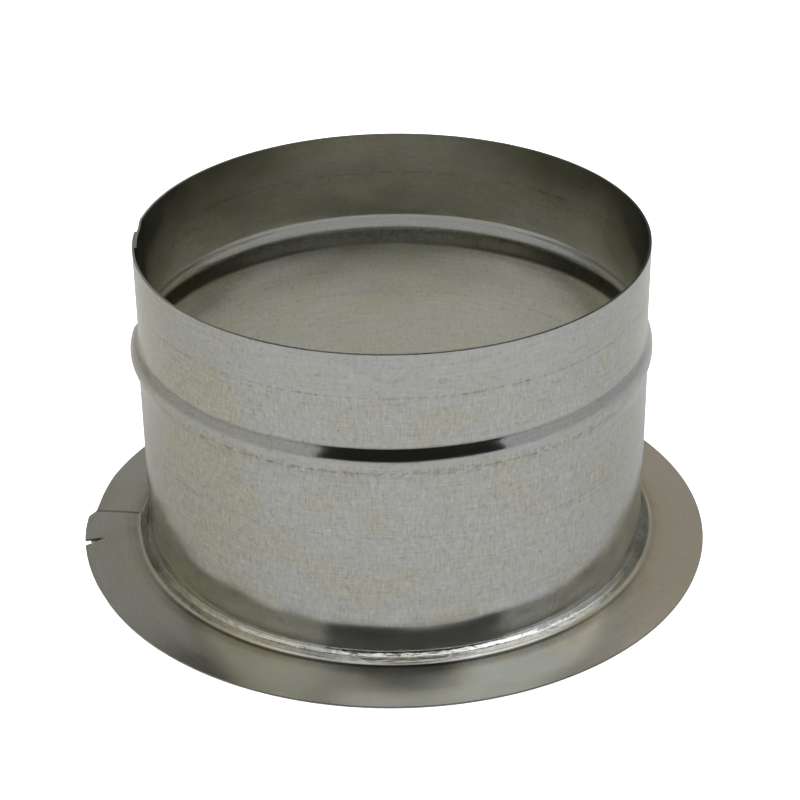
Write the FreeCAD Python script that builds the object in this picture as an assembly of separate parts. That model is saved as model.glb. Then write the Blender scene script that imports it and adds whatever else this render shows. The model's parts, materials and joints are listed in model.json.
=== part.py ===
import FreeCAD, Part
import math
import os

# A flanged duct collar: one strip of galvanised sheet rolled into a tube, lapped and
# spot-welded at one seam, beaded below the rim and turned out into a flange at the foot.
# Origin on the tube's axis at the flange's underside, +Z up through the tube.
# Angles are in degrees about Z from +X, counter-clockwise from above.

# Sheet and overall sizes, in millimetres
sheet = 0.55
tube_od = 124.0
height = 82.0
flange_od = 157.4

# Flange section: a bend at the tube's foot, a shallow cone, then a flat lip to the edge
root_bend = 3.0
cone_angle = 9.0
lip_width = 3.2

# Bead section: a rolled ridge with a crisp upper corner and a long straight lower flank
bead_below_rim = 26.1
bead_height = 1.55
bead_radius = 3.6
bead_flank_angle = 14.0

# Lap seam: the outer ply ends at lap_outer_end, the inner ply under it at lap_inner_end
lap_outer_end = 176.5
lap_inner_end = 186.0
inner_joggle_run = 6.0
outer_joggle_run = 10.0
joggle_steps = 4
outer_ply_overhang = 0.8
inner_ply_setback = 0.7

# Torn slit beside the seam, and the corner cut off the outer ply's flange
slit_depth = 4.9
slit_width = 1.7
corner_cut_along = 2.2
corner_cut_across = 1.5

# Spot welds down the lap: tapered electrode marks at these heights on the tube, and one on the flange
weld_diameter = 4.5
weld_floor = 3.0
weld_depth = 0.12
weld_heights = (15.0, 40.0, 76.0)
weld_from_lip = 3.6

tube_r = tube_od / 2
flange_r = flange_od / 2
lip_r = flange_r - lip_width
bead_z = height - bead_below_rim
lap_middle = (lap_outer_end + lap_inner_end) / 2


def point(radius, z):
    """A point of the section plane, by its distance from the tube's axis and its height."""
    return FreeCAD.Vector(radius, 0, z)


def arc(centre, radius, start, end):
    """An arc in the section plane between two angles in radians, as two edges that meet half-way.

    A turned face of half the bend needs far fewer facets than one of the whole bend."""
    angles = [start + (end - start) * quarter / 4 for quarter in range(5)]
    points = [point(centre[0] + radius * math.cos(a), centre[1] + radius * math.sin(a)) for a in angles]
    return [Part.Arc(*points[:3]).toShape(), Part.Arc(*points[2:]).toShape()]


def line(start, end):
    return Part.LineSegment(start, end).toShape()


def start_of(edge):
    return edge.firstVertex(True).Point


def end_of(edge):
    return edge.lastVertex(True).Point


def face_line(wall, flange, edge_r):
    """One face of the sheet from rim to flange edge, as a chain of edges.

    wall and flange say how far that face stands off the collar's outer face, outwards on the
    tube and upwards on the flange. The bead's and the bend's centres stay, so that faces nest."""
    wall_r = tube_r + wall
    bead = (tube_r + bead_height - bead_radius, bead_z)
    bead_r = bead_radius + wall
    bead_top = math.acos((wall_r - bead[0]) / bead_r)
    flank = math.radians(bead_flank_angle)
    bead_arc = arc(bead, bead_r, bead_top, -flank)
    flank_start = end_of(bead_arc[-1])
    flank_end = point(wall_r, flank_start.z - (flank_start.x - wall_r) / math.tan(flank))
    slope = math.radians(cone_angle)
    lip = point(lip_r + flange * math.tan(slope / 2), sheet + flange)
    bend_r = root_bend - wall
    bend_x = tube_r + root_bend
    bend = (bend_x, lip.z + (lip.x - bend_x) * math.tan(slope) + bend_r / math.cos(slope))
    bend_arc = arc(bend, bend_r, math.pi, 1.5 * math.pi - slope)
    return [
        line(point(wall_r, height), start_of(bead_arc[0])), *bead_arc, line(flank_start, flank_end),
        line(flank_end, start_of(bend_arc[0])), *bend_arc,
        line(end_of(bend_arc[-1]), lip), line(lip, point(edge_r, lip.z)),
    ]


def section(wall, flange, edge_r, angle):
    """The sheet's closed section, with its outer face at those offsets, turned to its angle."""
    outer = face_line(wall, flange, edge_r)
    inner = face_line(wall - sheet, flange - sheet, edge_r)
    rim = line(start_of(inner[0]), start_of(outer[0]))
    edge = line(end_of(outer[-1]), end_of(inner[-1]))
    wire = Part.Wire(Part.__sortEdges__([rim, *outer, edge, *inner]))
    return wire.rotated(FreeCAD.Vector(), FreeCAD.Vector(0, 0, 1), angle)


def turned(wall, flange, edge_r, start, end):
    """The sheet's section revolved from one angle round to another."""
    face = Part.Face(section(wall, flange, edge_r, start))
    return face.revolve(FreeCAD.Vector(), FreeCAD.Vector(0, 0, 1), end - start)


def joggle(start, end, wall, flange, edge_r):
    """The sheet easing from its plain section at start to a lap ply's section at end."""
    wires = []
    for step in range(joggle_steps + 1):
        share = step / joggle_steps
        ease = share * share * (3 - 2 * share)
        wires.append(section(ease * wall, ease * flange, flange_r + ease * (edge_r - flange_r),
                             start + share * (end - start)))
    return Part.makeLoft(wires, True, False)


def slit_tool():
    """A wedge that tears the flange beside the lap, its point towards the tube."""
    outside = flange_r + 4 * outer_ply_overhang
    half = slit_width / 2 * (outside - flange_r + slit_depth) / slit_depth
    corners = [FreeCAD.Vector(flange_r - slit_depth, half, -sheet), FreeCAD.Vector(outside, 0, -sheet),
               FreeCAD.Vector(outside, 2 * half, -sheet)]
    wedge = Part.Face(Part.makePolygon([*corners, corners[0]])).extrude(FreeCAD.Vector(0, 0, 5 * sheet))
    return wedge.rotated(FreeCAD.Vector(), FreeCAD.Vector(0, 0, 1), lap_inner_end)


def corner_tool():
    """A prism that cuts the outer corner off the end of the outer ply."""
    edge = flange_r + outer_ply_overhang
    corners = [FreeCAD.Vector(edge - corner_cut_across, 0, 0), FreeCAD.Vector(edge, corner_cut_along, 0),
               FreeCAD.Vector(edge + corner_cut_across, corner_cut_along, 0),
               FreeCAD.Vector(edge + corner_cut_across, -corner_cut_along, 0),
               FreeCAD.Vector(edge - corner_cut_across, -corner_cut_along, 0)]
    prism = Part.Face(Part.makePolygon([*corners, corners[0]])).extrude(FreeCAD.Vector(0, 0, 3 * sheet))
    return prism.rotated(FreeCAD.Vector(), FreeCAD.Vector(0, 0, 1), lap_outer_end)


def weld_tool(place, out):
    """A flat cone that leaves a shallow electrode mark, floor down, at a point of the outer face."""
    top_r = weld_diameter - weld_floor / 2
    return Part.makeCone(weld_floor / 2, top_r, 2 * weld_depth, place - out * weld_depth, out)


def weld_marks():
    """Marks down the middle of the lap, on the tube and on the cone of the flange."""
    up = FreeCAD.Vector(0, 0, 1)
    outwards = FreeCAD.Vector(math.cos(math.radians(lap_middle)), math.sin(math.radians(lap_middle)), 0)
    marks = [weld_tool(outwards * tube_r + up * z, outwards) for z in weld_heights]
    slope = math.radians(cone_angle)
    lip = outwards * (lip_r + sheet * math.tan(slope / 2)) + up * 2 * sheet
    flange_normal = outwards * math.sin(slope) + up * math.cos(slope)
    down_cone = outwards * math.cos(slope) - up * math.sin(slope)
    marks.append(weld_tool(lip - down_cone * weld_from_lip, flange_normal))
    return marks


def make_collar():
    plain_start = lap_inner_end + outer_joggle_run
    plain_end = 360 + lap_outer_end - inner_joggle_run
    outer_edge = flange_r + outer_ply_overhang
    inner_edge = flange_r - inner_ply_setback
    plain_middle = (plain_start + plain_end) / 2
    plain_front = turned(0, 0, flange_r, plain_start, plain_middle)
    plain_back = turned(0, 0, flange_r, plain_middle, plain_end)
    outer_ply = turned(0, sheet, outer_edge, lap_outer_end, lap_inner_end)
    inner_ply = turned(-sheet, 0, inner_edge, lap_outer_end, lap_inner_end)
    outer_step = joggle(plain_start, lap_inner_end, 0, sheet, outer_edge)
    inner_step = joggle(lap_outer_end - inner_joggle_run, lap_outer_end, -sheet, 0, inner_edge)
    collar = plain_front.fuse([plain_back, outer_ply, inner_ply, outer_step, inner_step])
    collar = collar.cut([slit_tool(), corner_tool(), *weld_marks()])
    return collar.Solids[0]


collar = make_collar()
os.makedirs("parts", exist_ok=True)
collar.exportStep("parts/collar.step")
print("valid", collar.isValid(), "volume mm3", round(collar.Volume, 1))
print("box", collar.BoundBox)
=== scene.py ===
"""A galvanised duct collar on a pale table: its sheet, its finish, the light and the camera."""
import json
import math

import bmesh
import bpy
import numpy as np
from mathutils import Matrix, Vector


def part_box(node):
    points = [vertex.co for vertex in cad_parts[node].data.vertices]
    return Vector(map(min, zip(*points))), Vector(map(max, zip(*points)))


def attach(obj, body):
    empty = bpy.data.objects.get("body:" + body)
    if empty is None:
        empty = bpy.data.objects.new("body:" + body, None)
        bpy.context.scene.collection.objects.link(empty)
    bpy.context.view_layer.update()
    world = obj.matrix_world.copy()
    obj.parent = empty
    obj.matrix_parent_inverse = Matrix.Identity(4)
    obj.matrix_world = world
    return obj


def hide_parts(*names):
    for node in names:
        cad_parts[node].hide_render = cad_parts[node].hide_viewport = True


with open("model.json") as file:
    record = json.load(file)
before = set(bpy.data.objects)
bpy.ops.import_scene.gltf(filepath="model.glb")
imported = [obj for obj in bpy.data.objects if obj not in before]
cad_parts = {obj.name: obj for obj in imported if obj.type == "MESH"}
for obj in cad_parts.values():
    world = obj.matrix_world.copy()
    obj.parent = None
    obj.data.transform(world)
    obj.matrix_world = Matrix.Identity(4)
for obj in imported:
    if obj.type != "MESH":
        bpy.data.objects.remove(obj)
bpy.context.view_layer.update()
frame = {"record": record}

MM = 0.001
CENTRE = (0, 0, 0)
UP = (0, 0, 1)

# Sizes that the frame gives, in metres
spigot = next(mount for mount in frame["record"]["mounts"] if mount["name"] == "spigot")
collar_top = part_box("collar")[1]
TUBE_R = spigot["dims"]["r_mm"] * MM
HEIGHT = collar_top[2]
FLANGE_R = collar_top[0]

# The sheet, and the corners of its outer face from rim to flange edge:
# radius, height, rounding, spacing of the points on the run that follows
SHEET = 0.55 * MM
LOWER_R = TUBE_R + 0.5 * MM
BEAD_H = 1.45 * MM
SECTION = (
    (TUBE_R, HEIGHT, 0, 3.0 * MM),
    (TUBE_R, HEIGHT - 23.5 * MM, 2.2 * MM, 1.0 * MM),
    (TUBE_R + BEAD_H, HEIGHT - 26.0 * MM, 6.0 * MM, 1.0 * MM),
    (TUBE_R + BEAD_H, HEIGHT - 28.3 * MM, 5.0 * MM, 1.5 * MM),
    (LOWER_R, HEIGHT - 32.1 * MM, 4.0 * MM, 3.0 * MM),
    (LOWER_R, 12.0 * MM, 100.0 * MM, 1.5 * MM),
    (LOWER_R + 0.12 * MM, 4.21 * MM, 1.0 * MM, 0.5 * MM),
    (LOWER_R + 1.12 * MM, 3.36 * MM, 0.8 * MM, 0.5 * MM),
    (LOWER_R + 2.75 * MM, 3.14 * MM, 0.15 * MM, 0.5 * MM),
    (LOWER_R + 3.22 * MM, 2.76 * MM, 0.25 * MM, 1.2 * MM),
    (69.0 * MM, 2.41 * MM, 70.0 * MM, 1.2 * MM),
    (74.5 * MM, 1.54 * MM, 70.0 * MM, 1.2 * MM),
    (FLANGE_R, SHEET, 0, 0),
)
ARC_STEP = math.radians(7)

# The ring is spun open, then wound on until its ends lap. Strip angles are in degrees from the
# end of the outer ply, which stands at LAP_START about the axis. Columns are closer at the lap.
COLUMNS = 440
OPEN_SPIN = math.radians(350)
LAP_START = 176.5
LAP = 9.5
STRIP_ENDS = (0, 14, 348, 360 + LAP)
COLUMN_ENDS = (0, 56, 390, COLUMNS)

# The plies: how far the inner one tucks in and the outer one's flange rides up, the stretch of
# the root where one turns into the other (radius less height), and how the outer end leans
INNER_JOGGLE = 6.0
PLY_STEP = SHEET + 0.03 * MM
ROOT_SPAN = (57.9 * MM, 60.2 * MM)
END_SLANT_FOOT = 3.9
END_SLANT_RIM = 1.1
END_SLANT_FLANGE = 4.4

# The outer ply stands out at the bead beside the lap: how far, between which heights it grows,
# and between which strip angles it fades
BEAD_SPRING = 0.85 * MM
SPRING_HEIGHTS = (HEIGHT - 31 * MM, HEIGHT - 27 * MM)
SPRING_FADE = (6, 45)

# Torn slit at the front of the outer ply's flange: strip angles of its sides, radius of its tip,
# and how the sheet beside it moves, in degrees
SLIT_NEAR = 9.75
SLIT_FAR = 10.5
SLIT_MIDDLE = (SLIT_NEAR + SLIT_FAR) / 2
SLIT_TIP_R = 75.5 * MM
SLIT_REACH = (SLIT_TIP_R - 2 * MM, SLIT_TIP_R, FLANGE_R)
SLIT_MOUTH_OPEN = 0.25
SLIT_TIP_CLOSE = 0.2
SLIT_FADE_NEAR = 2
SLIT_FADE_FAR = 3
STRIP_CURL = 0.2 * MM
CURL_START = 6.8
CURL_END = SLIT_NEAR + 0.1

# Width in degrees of the step down from the outer ply's flange to the plain flange, by radius
LIFT_RADII = (TUBE_R, SLIT_TIP_R - 2 * MM, SLIT_TIP_R + 0.6 * MM)
LIFT_WIDTHS = (10.0, 6.5, 0.6)

# Flange edge radius by strip angle: cut corner, outer ply, front flange, plain edge, inner ply
LIP_R = FLANGE_R - 4.5 * MM
EDGE_ANGLES = (0, 1.9, 6, 10.1, 28, 346, 356, 370)
EDGE_RADII = tuple(r * MM for r in (77.8, 79.35, 79.42, 79.35, 78.66, 78.66, 78.0, 78.0))

# Electrode dents on the outer ply's flange: strip angle, radius, half-width
DENTS = ((4.7, 72.9 * MM, 1.6 * MM), (5.0, 66.5 * MM, 2.2 * MM))
DENT_DEPTH = 0.12 * MM

# Cut edges are broken by so much, and shading is smooth up to an angle
EDGE_BREAK = 0.08 * MM
BREAK_ANGLE = math.radians(50)
SMOOTH_ANGLE = math.radians(20)


def corner_arc(before, corner, after, rounding):
    """Points of the arc that rounds one corner of the section."""
    back = (before - corner).normalized()
    onward = (after - corner).normalized()
    turn = math.pi - back.angle(onward)
    start = corner + back * rounding * math.tan(turn / 2)
    centre = corner + (back + onward).normalized() * rounding / math.cos(turn / 2)
    sense = math.copysign(turn, back.y * onward.x - back.x * onward.y)
    steps = max(3, math.ceil(turn / ARC_STEP))
    turns = [Matrix.Rotation(sense * step / steps, 2) for step in range(steps + 1)]
    return [centre + turned @ (start - centre) for turned in turns]


def run_points(start, end, spacing):
    """Points that divide a straight run of the section, after its start and up to its end."""
    parts = max(1, round((end - start).length / spacing))
    return [start.lerp(end, part / parts) for part in range(1, parts + 1)]


def section_points():
    """The outer face's line from rim to flange edge, as (radius, height) points."""
    corners = [Vector(corner[:2]) for corner in SECTION]
    points = [corners[0]]
    for index in range(1, len(corners) - 1):
        arc = corner_arc(*corners[index - 1:index + 2], SECTION[index][2])
        points += run_points(points[-1], arc[0], SECTION[index - 1][3]) + arc[1:]
    return points + run_points(points[-1], corners[-1], SECTION[-2][3])


def spin_sheet(points):
    """An open ring of sheet: the section extruded point by point, then spun about the axis."""
    bpy.ops.object.select_all(action="DESELECT")
    bpy.ops.mesh.primitive_plane_add(size=SHEET, location=(points[0].x, 0, points[0].y))
    piece = bpy.context.object
    piece.name = piece.data.name = "rolled_collar"
    bpy.ops.object.transform_apply(location=True)
    bpy.ops.object.mode_set(mode="EDIT")
    bpy.ops.mesh.select_mode(type="VERT")
    bpy.ops.mesh.select_all(action="SELECT")
    bpy.ops.mesh.merge(type="CENTER")
    for last, point in zip(points, points[1:]):
        step = (point.x - last.x, 0, point.y - last.y)
        bpy.ops.mesh.extrude_vertices_move(TRANSFORM_OT_translate={"value": step})
    bpy.ops.mesh.select_all(action="SELECT")
    bpy.ops.mesh.spin(steps=COLUMNS, angle=-OPEN_SPIN, center=CENTRE, axis=UP)
    bpy.ops.object.mode_set(mode="OBJECT")
    return piece


def strip_angle(x, y):
    """How far along the strip a point of the open ring lies, in degrees."""
    spun = np.arctan2(y, x)
    spun = np.where(spun < -OPEN_SPIN / COLUMNS / 2, spun + 2 * math.pi, spun)
    return np.interp(spun / OPEN_SPIN * COLUMNS, COLUMN_ENDS, STRIP_ENDS)


def tear_slit(piece):
    """Takes the faces of the torn slit out of the open ring."""
    bpy.ops.object.mode_set(mode="EDIT")
    bpy.ops.mesh.select_mode(type="FACE")
    bpy.ops.mesh.select_all(action="DESELECT")
    sheet = bmesh.from_edit_mesh(piece.data)
    for face in sheet.faces:
        centre = face.calc_center_median()
        in_slit = SLIT_NEAR < strip_angle(centre.x, centre.y) < SLIT_FAR
        face.select = in_slit and math.hypot(centre.x, centre.y) > SLIT_TIP_R
    bmesh.update_edit_mesh(piece.data)
    bpy.ops.mesh.delete(type="FACE")
    bpy.ops.object.mode_set(mode="OBJECT")


def ease(value, start, end):
    """0 before start, 1 after end, and a smooth step between."""
    share = np.clip((value - start) / (end - start), 0, 1)
    return share * share * (3 - 2 * share)


def slit_shift(strip, radius):
    """Degrees that the sheet beside the slit moves, so that the slit opens to its mouth."""
    open_far = np.interp(radius, SLIT_REACH, (0, -SLIT_TIP_CLOSE, SLIT_MOUTH_OPEN))
    close_near = np.interp(radius, SLIT_REACH, (0, SLIT_TIP_CLOSE, 0))
    far = open_far * (1 - ease(strip, SLIT_FAR, SLIT_FAR + SLIT_FADE_FAR)) * (strip > SLIT_MIDDLE)
    near = close_near * ease(strip, SLIT_NEAR - SLIT_FADE_NEAR, SLIT_NEAR) * (strip < SLIT_MIDDLE)
    return far + near


def end_slant(strip, radius, z):
    """Degrees by which the outer ply's end leans, fading out over the lap."""
    outwards = (radius - TUBE_R) / (FLANGE_R - TUBE_R)
    slant = END_SLANT_FOOT + (END_SLANT_RIM - END_SLANT_FOOT) * z / HEIGHT
    slant = slant - END_SLANT_FLANGE * outwards
    return slant * np.clip(1 - strip / LAP, 0, 1)


def ply_lift(strip, radius):
    """Share of a sheet's thickness by which the outer ply's flange rides on the inner ply's."""
    width = np.interp(radius, LIFT_RADII, LIFT_WIDTHS)
    return 1 - ease(strip, SLIT_MIDDLE - width / 2, SLIT_MIDDLE + width / 2)


def dent_depth(strip, radius):
    """How far the electrode dents press the outer ply's flange down."""
    depth = 0
    for dent_strip, dent_r, half in DENTS:
        across = np.radians(strip - dent_strip) * radius
        depth = depth + DENT_DEPTH * np.exp(-(across ** 2 + (radius - dent_r) ** 2) / half ** 2)
    return depth


def flange_rise(strip, radius):
    """How far the outer ply's flange stands above the plain flange, with its curl and its dents."""
    curl = STRIP_CURL * ease(strip, CURL_START, SLIT_NEAR) * (strip < CURL_END)
    rise = PLY_STEP * ply_lift(strip, radius) + curl * ease(radius, SLIT_TIP_R, FLANGE_R)
    return rise - dent_depth(strip, radius)


def bead_spring(strip, radius, z):
    """How far the outer ply stands out at the bead beside the lap."""
    crest = np.clip((radius - TUBE_R) / BEAD_H, 0, 1) * ease(z, *SPRING_HEIGHTS)
    return BEAD_SPRING * crest * (1 - ease(strip, *SPRING_FADE))


def wind_closed(piece):
    """Winds the open ring on until its ends lap, and seats the two plies on each other."""
    flat = np.empty(3 * len(piece.data.vertices))
    piece.data.vertices.foreach_get("co", flat)
    x, y, z = flat.reshape(-1, 3).T
    radius = np.hypot(x, y)
    strip = strip_angle(x, y)
    flange = ease(radius - z, *ROOT_SPAN)
    tuck = PLY_STEP * ease(strip, 360 - INNER_JOGGLE, 360) * (1 - flange)
    rise = flange_rise(strip, radius) * flange
    edge = np.interp(strip, EDGE_ANGLES, EDGE_RADII)
    lip = np.clip((radius - LIP_R) / (FLANGE_R - LIP_R), 0, 1)
    wound = radius + lip * (edge - FLANGE_R) - tuck + bead_spring(strip, radius, z)
    turned = np.radians(LAP_START + strip + end_slant(strip, radius, z) + slit_shift(strip, radius))
    placed = np.stack((wound * np.cos(turned), wound * np.sin(turned), z + rise), axis=1)
    piece.data.vertices.foreach_set("co", placed.ravel())
    piece.data.update()


def apply_modifier(piece, kind, **settings):
    """Adds a modifier with its settings and applies it."""
    modifier = piece.modifiers.new(kind.lower(), kind)
    for name, value in settings.items():
        setattr(modifier, name, value)
    bpy.ops.object.modifier_apply(modifier=modifier.name)


def thicken(piece):
    """Gives the wound sheet its thickness and takes the sharpness off its cut edges."""
    bpy.ops.object.mode_set(mode="EDIT")
    bpy.ops.mesh.select_all(action="SELECT")
    bpy.ops.mesh.normals_make_consistent(inside=False)
    bpy.ops.object.mode_set(mode="OBJECT")
    apply_modifier(piece, "SOLIDIFY", thickness=SHEET, offset=-1)
    apply_modifier(piece, "BEVEL", width=EDGE_BREAK, segments=2, limit_method="ANGLE",
                   angle_limit=BREAK_ANGLE)
    bpy.ops.object.shade_smooth_by_angle(angle=SMOOTH_ANGLE)


class Shade:
    """A socket of a material's nodes, so that patterns are written as sums of values."""

    def __init__(self, tree, socket):
        self.tree = tree
        self.socket = socket

    def node(self, kind, inputs, output=0, **settings):
        """Adds a node with its settings, then its values and links, and gives one of its outputs."""
        node = self.tree.nodes.new(kind)
        for name, value in settings.items():
            setattr(node, name, value)
        for name, value in inputs.items():
            if isinstance(value, Shade):
                self.tree.links.new(value.socket, node.inputs[name])
            else:
                node.inputs[name].default_value = value
        return Shade(self.tree, node.outputs[output])

    def math(self, operation, first, second=0.0):
        return self.node("ShaderNodeMath", {0: first, 1: second}, operation=operation)

    def __add__(self, other):
        return self.math("ADD", self, other)

    def __sub__(self, other):
        return self.math("SUBTRACT", self, other)

    def __rsub__(self, other):
        return self.math("SUBTRACT", other, self)

    def __mul__(self, other):
        return self.math("MULTIPLY", self, other)

    def __truediv__(self, other):
        return self.math("DIVIDE", self, other)

    __radd__ = __add__
    __rmul__ = __mul__

    def root(self):
        return self.math("SQRT", self)

    def step(self, start, end):
        """0 before start, 1 after end, and a smooth step between."""
        ends = {"Value": self, "From Min": start, "From Max": end}
        return self.node("ShaderNodeMapRange", ends, interpolation_type="SMOOTHSTEP")

    def band(self, middle, half):
        """1 at the middle, falling smoothly to 0 at half a band's width from it."""
        return self.step(middle - half, middle) * (1 - self.step(middle, middle + half))

    def blend(self, first, second):
        """One colour at 0 and another at 1."""
        return self.node("ShaderNodeMix", {"Factor": self, 6: first, 7: second}, 2, data_type="RGBA")

    def noise(self, vector, detail):
        return self.node("ShaderNodeTexNoise", {"Vector": vector, "Scale": 1.0, "Detail": detail})


# Where the finish changes. The inner face is told by its radius, which is larger below the bead.
INNER_FACE = (TUBE_R - 0.45 * MM, TUBE_R - 0.3 * MM)
WIDENING = (HEIGHT - 33 * MM, HEIGHT - 32 * MM)
BRINK = (FLANGE_R - 0.14 * MM, FLANGE_R - 0.08 * MM)
BRINK_TOP = (0.58 * MM, 0.7 * MM)
RIM_EDGE = (HEIGHT - 0.1 * MM, HEIGHT - 0.05 * MM)

# Heights on the tube
SMOOTH_START = (70.6 * MM, 71.8 * MM)
ROLL_LINES = (71.2 * MM, 35.5 * MM)
BEAD_SHOULDER = HEIGHT - 23.4 * MM
BEAD_CREST = HEIGHT - 25.2 * MM
BEAD_FOOT = HEIGHT - 29.2 * MM
INSIDE_UPPER = (45 * MM, 55 * MM)
FOOT_TOP = (11 * MM, 19 * MM)
FILLET_TOP = (4.5 * MM, 13 * MM)

# Places round the root and on the flange, as radius less height
ROOT_START = (57.5 * MM, 58.9 * MM)
ROOT_END = (61.4 * MM, 62.1 * MM)
FLANGE_START = (61.0 * MM, 63.0 * MM)
# Where the narrow painted shadow line and the wider painted shade below the root lie
ROOT_LINE = 63.5 * MM
ROOT_SHADE = 64.2 * MM
STAIN = 64.0 * MM

# Sides of the collar, from the axis
SEAM_SIDE = (20 * MM, 64 * MM)
FAR_SIDE = (24 * MM, 70 * MM)
FRONT_SIDE = (20 * MM, 62 * MM)
# Middle of the root's smoother band that carries a painted highlight
POLISH_AND_GLINT_X = 34 * MM
LAP_EDGE = math.radians(180 - LAP_START - END_SLANT_FOOT)


class Sheet:
    """Where a point of the collar lies, for the patterns that follow the sheet."""

    def __init__(self, tree):
        start = Shade(tree, None)
        place = start.node("ShaderNodeTexCoord", {}, "Object")
        self.x, self.y, self.z = (
            start.node("ShaderNodeSeparateXYZ", {0: place}, axis) for axis in range(3))
        self.radius = (self.x * self.x + self.y * self.y).root()
        self.along = self.radius - self.z
        self.seam_side = (0 - self.x).step(*SEAM_SIDE)
        self.far_side = self.x.step(*FAR_SIDE)
        self.front = (0 - self.y).step(*FRONT_SIDE)
        self.mark_tube()
        self.mark_root()
        self.mark_flange()

    def mark_tube(self):
        """The tube's inner face, its smooth upper band and the bead, with a painted shade line on its upper
        shoulder.
        """
        widened = (1 - self.z.step(*WIDENING)) * (LOWER_R - TUBE_R)
        self.inside = 1 - (self.radius - widened).step(*INNER_FACE)
        self.smooth = self.z.step(*SMOOTH_START)
        self.bead = self.z.band(BEAD_CREST, 4.0 * MM)
        # Painted shade: a dark line along the bead's upper shoulder
        self.shoulder_shade_line = self.z.band(BEAD_SHOULDER, 0.55 * MM) * (1 - self.inside)

    def mark_root(self):
        """The hammered root, its smoother right front with a painted highlight, the dark fillet above it
        and the painted shade below.
        """
        self.flange = self.along.step(*FLANGE_START)
        self.root = self.along.step(*ROOT_START) * (1 - self.along.step(*ROOT_END))
        # Painted shade below the root: a wide band and a narrow shadow line
        self.root_painted_shade = self.along.band(ROOT_SHADE, 3.0 * MM) * 0.6 + self.along.band(ROOT_LINE, 1.0 * MM)
        self.foot = (1 - self.z.step(*FOOT_TOP)) * (1 - self.flange) * (1 - self.inside)
        # The fillet at the wall's foot, which is given painted light and is a little less metallic
        self.fillet = (1 - self.z.step(*FILLET_TOP)) * self.foot * (1 - self.root)
        # A band of the root at the right front, smoother and with a painted highlight
        self.polish_and_painted_glint = self.x.band(POLISH_AND_GLINT_X, 30 * MM) * self.front * self.root

    def mark_flange(self):
        """The cut edges of flange and rim, and a painted shadow line where the outer ply ends on the
        flange.
        """
        brink = self.radius.step(*BRINK) * (1 - self.z.step(*BRINK_TOP))
        self.cut = brink + self.z.step(*RIM_EDGE)
        outwards = (self.radius - TUBE_R) / (FLANGE_R - TUBE_R)
        behind = self.y - self.radius * (LAP_EDGE + outwards * math.radians(END_SLANT_FLANGE))
        self.lap_painted_shadow = behind.band(0.4 * MM, 1.3 * MM) * self.flange * (0 - self.x).step(0, 60 * MM)

    def grain(self, around, along, detail=2.0, offset=0.0):
        """Noise whose marks are so long around the collar and so long along its section."""
        turn = TUBE_R / around
        vector = self.x.node("ShaderNodeCombineXYZ", {
            0: self.x / self.radius * turn, 1: self.y / self.radius * turn, 2: self.along / along + offset})
        return vector.noise(vector, detail)


# Colours, and the grains that more than one pattern uses: size around, size along, detail, offset
ZINC_COOL = (0.50, 0.505, 0.49, 1)
ZINC_OLIVE = (0.495, 0.482, 0.375, 1)
ROOT_STAIN = (0.47, 0.42, 0.305, 1)
ZINC_TONE = 0.95
FILLET_DULLING = 0.16
BRUSHED_LINES = (7.0 * MM, 0.35 * MM, 2.0, 40.0)


def zinc_colour(sheet):
    """Cool and olive zinc in soft patches, more olive inside and by the seam, stained at the root."""
    patches = sheet.grain(15 * MM, 11 * MM, 3.0)
    blots = sheet.grain(9 * MM, 4 * MM, 3.0, 20.0)
    olive = patches.step(0.38, 0.66) * 0.5 + sheet.inside * 0.4
    olive = olive + sheet.seam_side * (0.75 - sheet.flange * 0.4 - sheet.inside * 0.6)
    olive = olive + sheet.root * (0.5 - sheet.front * 0.7) - sheet.smooth * 0.2 - sheet.bead * 0.4
    stain = sheet.along.band(STAIN, 6 * MM) * blots.step(0.4, 0.7) * (0.8 - sheet.root * 0.5)
    stain = stain + sheet.far_side * sheet.flange * 0.7
    return stain.blend(olive.blend(ZINC_COOL, ZINC_OLIVE), ROOT_STAIN)


def broken_lines(sheet):
    """Dark rolling marks: two broken lines round the tube, and specks along the bead's foot."""
    gaps = sheet.grain(1.2 * MM, 20 * MM, 3.0, 60.0).step(0.42, 0.6)
    specks = sheet.grain(1.4 * MM, 0.7 * MM, 2.0, 70.0).step(0.5, 0.62)
    upper, lower = (sheet.z.band(height, 0.4 * MM) for height in ROLL_LINES)
    below = sheet.z.band(BEAD_FOOT, 2.2 * MM) * specks * 0.2
    below = below + sheet.z.band(BEAD_FOOT, 0.6 * MM) * gaps * 0.22
    return upper * gaps * 0.26 + lower * gaps * 0.16 + below * (1 - sheet.inside)


def grain_marks(sheet):
    """Drawing streaks, brushed lines, pale specks, dark pits, and mottling at the tube's foot."""
    streaks = sheet.grain(0.4 * MM, 2.4 * MM)
    lines = sheet.grain(*BRUSHED_LINES)
    specks = sheet.grain(1.1 * MM, 0.9 * MM, 3.0, 80.0)
    mottle = sheet.grain(5 * MM, 3 * MM, 3.0, 140.0)
    plain = 1 - sheet.flange * 0.75 - (sheet.inside + sheet.smooth) * 0.4 - (sheet.bead + sheet.root) * 0.6
    pits = (1 - specks.step(0.28, 0.44)) * (0.16 - (sheet.flange + sheet.foot) * 0.11)
    marks = (streaks - 0.5) * plain * 0.5 + (lines - 0.5) * (0.3 - sheet.flange * 0.15)
    return marks + specks.step(0.56, 0.74) * plain * 0.16 - pits + (mottle - 0.5) * sheet.foot * 0.5


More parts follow.
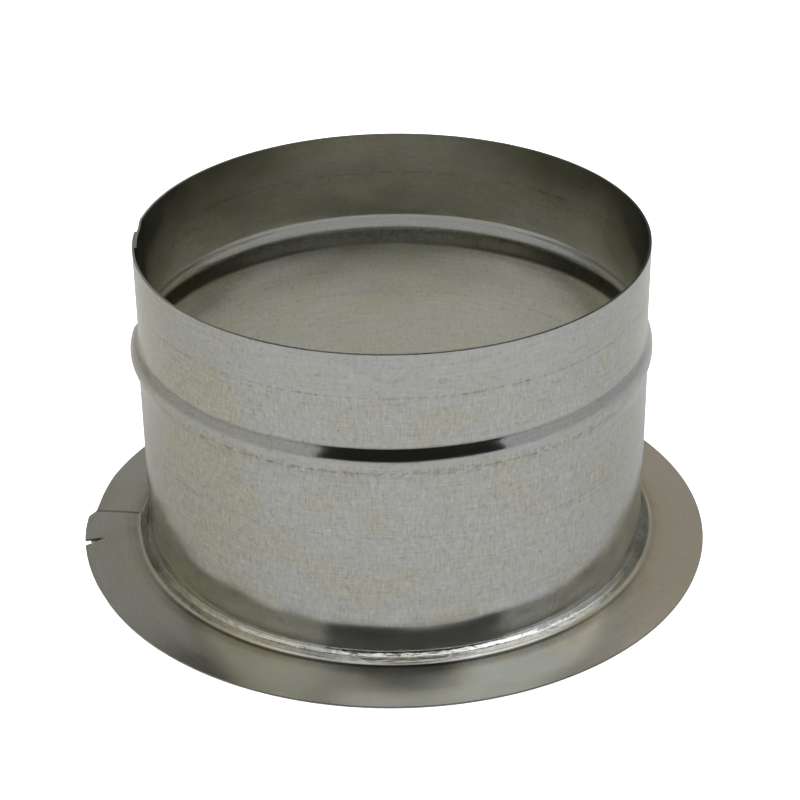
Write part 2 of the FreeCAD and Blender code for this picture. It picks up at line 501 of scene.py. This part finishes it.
def painted_light_and_edge_tone(sheet):
    """Painted light and shade by place: lighter inside and in the fillet, darker at both sides, on the
    bead's shoulder, round the root and along the lap, a painted highlight on the root's right front, and
    darker cut edges.
    """
    # Painted light: lighter inside, less so up towards the rim, and lighter in the fillet at the wall's
    # foot
    tone = sheet.inside * (0.2 - sheet.z.step(*INSIDE_UPPER) * 0.08) + sheet.fillet * 0.2
    # Painted shade: both sides are darker, more so inside; the far side's flange gets painted light instead
    tone = tone - sheet.seam_side * (0.13 + sheet.inside * 0.1)
    tone = tone - sheet.far_side * (0.13 + sheet.inside * 0.12 - sheet.flange * 0.23)
    # Painted shade: the dark line on the bead's shoulder, and the painted shade below the root, stronger at
    # the front
    tone = tone - sheet.shoulder_shade_line * 0.2 - sheet.root_painted_shade * (0.12 + sheet.front * 0.4)
    # Painted shade dims the root away from the front; a painted highlight lights its right front
    tone = tone - sheet.root * (0.45 - sheet.front * 0.5) + sheet.polish_and_painted_glint * 0.4
    # Darker cut edges, except by the seam, and a painted shadow along the outer ply's end on the flange
    return tone - sheet.cut * (0.65 - sheet.seam_side * 0.65) - sheet.lap_painted_shadow * 0.7


def zinc_tone(sheet):
    """How light the zinc is: its grain and marks, with painted light and shade by place."""
    return ZINC_TONE + grain_marks(sheet) + painted_light_and_edge_tone(sheet) - broken_lines(sheet)


def zinc_roughness(sheet):
    """Cloudy, duller on the root, the flange and cut edges, brighter on the bead and the foot."""
    cloud = sheet.grain(12 * MM, 9 * MM, 3.0, 30.0)
    rough = 0.2 + (cloud - 0.5) * 0.1 - sheet.bead * 0.08 - sheet.foot * 0.07
    return rough + (sheet.root - sheet.polish_and_painted_glint) * 0.1 + sheet.flange * 0.04 + sheet.cut * 0.3


def zinc_relief(sheet):
    """Height of the surface in millimetres: brushed lines, grain, a slow wave and the hammered root."""
    lines = sheet.grain(*BRUSHED_LINES)
    grain = sheet.grain(1.2 * MM, 1.0 * MM, 2.0, 80.0)
    wave = sheet.grain(22 * MM, 15 * MM, 1.0, 100.0)
    hammer = sheet.grain(2.4 * MM, 1.8 * MM, 2.0, 120.0)
    fine = (lines * 0.004 + grain * 0.008) * (1 - sheet.foot * 0.8)
    return fine + wave * (0.3 + sheet.foot * 0.2) + (hammer - 0.5) * sheet.root * 0.2


def galvanised_finish():
    """Zinc-coated sheet: its colour and tone with painted light and shade, how rough it is, and its relief.
    """
    material = bpy.data.materials.new("galvanised_zinc")
    material.use_nodes = True
    tree = material.node_tree
    sheet = Sheet(tree)
    colour = zinc_colour(sheet)
    relief = zinc_relief(sheet)
    toned = {0: colour, 3: zinc_tone(sheet)}
    finish = {
        "Base Color": colour.node("ShaderNodeVectorMath", toned, operation="SCALE"),
        "Metallic": 1 - sheet.fillet * FILLET_DULLING,
        "Roughness": zinc_roughness(sheet),
        "Normal": relief.node("ShaderNodeBump", {"Height": relief, "Strength": 1.0, "Distance": MM}),
    }
    for name, value in finish.items():
        tree.links.new(value.socket, tree.nodes["Principled BSDF"].inputs[name])
    return material


def make_collar():
    """The collar: one strip of sheet, spun, torn, wound, thickened and finished."""
    piece = spin_sheet(section_points())
    tear_slit(piece)
    wind_closed(piece)
    thicken(piece)
    piece.data.materials.append(galvanised_finish())
    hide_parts("collar")
    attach(piece, "root")


TABLE_SIZE = 8.0
TABLE_DROP = 0.1 * MM
TABLE_WHITE = (0.82, 0.82, 0.82, 1)
TABLE_ROUGH = 0.7
TABLE_GLOW = 1.0
BLACK = (0, 0, 0, 1)
WHITE = (1, 1, 1, 1)


def make_table():
    """A plain pale table, with a glow that only the camera sees, so that it stays white."""
    bpy.ops.object.select_all(action="DESELECT")
    bpy.ops.mesh.primitive_plane_add(size=TABLE_SIZE, location=(0, 0, -TABLE_DROP))
    table = bpy.context.object
    table.name = "table"
    material = bpy.data.materials.new("pale_table")
    material.use_nodes = True
    surface = material.node_tree.nodes["Principled BSDF"]
    surface.inputs["Base Color"].default_value = TABLE_WHITE
    surface.inputs["Roughness"].default_value = TABLE_ROUGH
    surface.inputs["Emission Strength"].default_value = TABLE_GLOW
    start = Shade(material.node_tree, None)
    seen = start.node("ShaderNodeLightPath", {}, "Is Camera Ray")
    material.node_tree.links.new(seen.blend(BLACK, WHITE).socket, surface.inputs["Emission Color"])
    table.data.materials.append(material)


# Soft boxes: turn about the axis from the camera's side and elevation in degrees, distance,
# width, height, glow, colour
WARM = (1.0, 0.98, 0.93)
NEUTRAL = (1.0, 1.0, 1.0)
SOFT_BOXES = {
    "left_panel": (-75, 0, 1.3, 2.5, 4.8, 0.525, WARM),
    "left_high_box": (-80, 53, 1.3, 1.2, 0.45, 0.62, WARM),
    "left_back_panel": (-131, 0, 1.3, 0.6, 3.0, 0.45, WARM),
    "right_panel": (85, 0, 1.3, 2.2, 4.8, 0.53, (0.97, 0.99, 1.0)),
    "right_front_box": (86, 54, 1.3, 1.75, 0.45, 1.05, NEUTRAL),
    "back_box": (167, 29, 1.5, 2.4, 1.6, 0.42, (1.0, 0.98, 0.95)),
    "ceiling_box": (8, 67, 1.3, 1.05, 0.46, 1.65, NEUTRAL),
    "table_box": (0, 69, 1.3, 1.2, 0.28, 6.9, NEUTRAL),
}
NOT_MIRRORED = "table_box"
AIM = Vector((0, 0, HEIGHT / 2))
STUDIO_DIM = (0.02, 0.02, 0.019, 1)
BACKDROP = (0.95, 0.95, 0.95, 1)


def add_soft_box(name, turn, elevation, distance, width, height, glow, colour):
    """A soft box that faces the collar. Its power follows from its glow and its area."""
    turn, elevation = math.radians(turn), math.radians(elevation)
    level = math.cos(elevation)
    away = Vector((math.sin(turn) * level, -math.cos(turn) * level, math.sin(elevation)))
    bpy.ops.object.light_add(type="AREA", location=AIM + away * distance)
    box = bpy.context.object
    box.name = name
    box.rotation_euler = away.to_track_quat("Z", "Y").to_euler()
    box.data.shape = "RECTANGLE"
    box.data.size = width
    box.data.size_y = height
    box.data.energy = glow * math.pi * width * height
    box.data.color = colour
    box.visible_camera = False
    box.visible_glossy = name != NOT_MIRRORED


def set_studio():
    """A dim room behind a pale backdrop, with its soft boxes."""
    world = bpy.data.worlds.new("studio")
    world.use_nodes = True
    tree = world.node_tree
    start = Shade(tree, None)
    seen = start.node("ShaderNodeLightPath", {}, "Is Camera Ray")
    colour = seen.blend(STUDIO_DIM, BACKDROP)
    tree.links.new(colour.socket, tree.nodes["Background"].inputs["Color"])
    bpy.context.scene.world = world
    for name, values in SOFT_BOXES.items():
        add_soft_box(name, *values)
    bpy.context.scene.view_settings.view_transform = "Standard"


# The camera: a fitted lens, its place and its three turns in radians
CAMERA_PLACE = (0, -0.47506, 0.30366)
CAMERA_LENS = 98.19
CAMERA_SENSOR = 36.0
CAMERA_PITCH = 0.51305
CAMERA_YAW = 0.00319
CAMERA_ROLL = -0.01144


def set_camera():
    """The camera at the photograph's viewing angle."""
    level = Vector((math.sin(CAMERA_YAW), math.cos(CAMERA_YAW), 0))
    forward = level * math.cos(CAMERA_PITCH) - Vector(UP) * math.sin(CAMERA_PITCH)
    right = level.cross(Vector(UP))
    top = right.cross(forward)
    turned_right = right * math.cos(CAMERA_ROLL) + top * math.sin(CAMERA_ROLL)
    turned_top = top * math.cos(CAMERA_ROLL) - right * math.sin(CAMERA_ROLL)
    bpy.ops.object.camera_add()
    camera = bpy.context.object
    axes = Matrix((turned_right, turned_top, -forward)).transposed()
    camera.matrix_world = Matrix.Translation(CAMERA_PLACE) @ axes.to_4x4()
    camera.data.lens = CAMERA_LENS
    camera.data.sensor_width = CAMERA_SENSOR
    bpy.context.scene.camera = camera


make_collar()
make_table()
set_studio()
set_camera()
